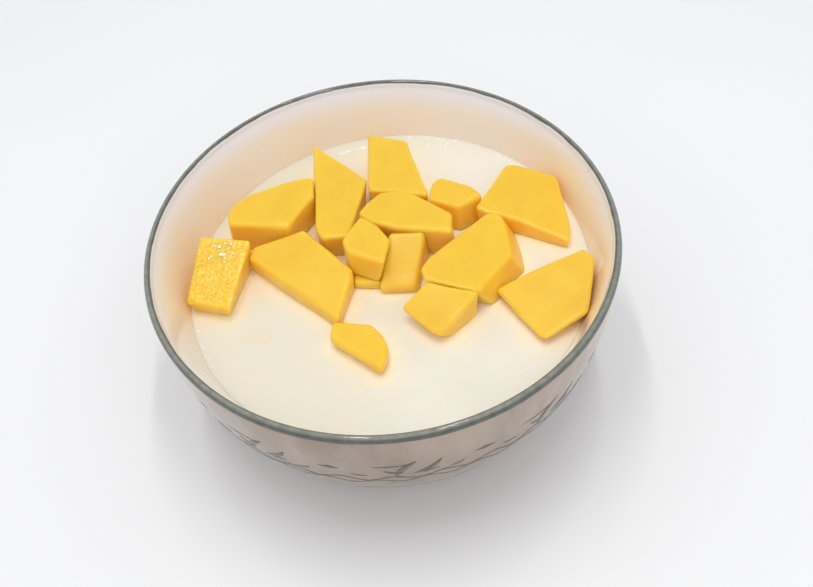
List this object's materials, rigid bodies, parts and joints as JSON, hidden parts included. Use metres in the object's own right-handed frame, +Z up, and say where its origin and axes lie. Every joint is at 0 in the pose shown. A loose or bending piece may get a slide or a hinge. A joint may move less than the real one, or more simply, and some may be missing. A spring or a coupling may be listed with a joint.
{
  "type": "steamed milk pudding",
  "caption": "Set milk pudding with cut mango on top, served in a glazed ceramic bowl with a coloured rim line.",
  "frame": {"origin": "middle of the foot ring's underside, on the surface that the bowl stands on", "axes": "+Z up along the bowl's axis; -Y towards the side where the pudding is clear of fruit; +X to the right seen from there"},
  "size_m": [0.15, 0.15, 0.07],
  "materials": {
    "glaze": "glossy glaze",
    "milk": "smooth wet skin",
    "mango": "moist cut flesh"
  },
  "bodies": {
    "root": {"bowl": "glaze", "pudding": "milk", "mango_01": "mango", "mango_02": "mango", "mango_03": "mango", "mango_04": "mango", "mango_05": "mango", "mango_06": "mango", "mango_07": "mango", "mango_08": "mango", "mango_09": "mango", "mango_10": "mango", "mango_11": "mango", "mango_12": "mango", "mango_13": "mango", "mango_14": "mango", "mango_15": "mango"}
  },
  "joints": []
}
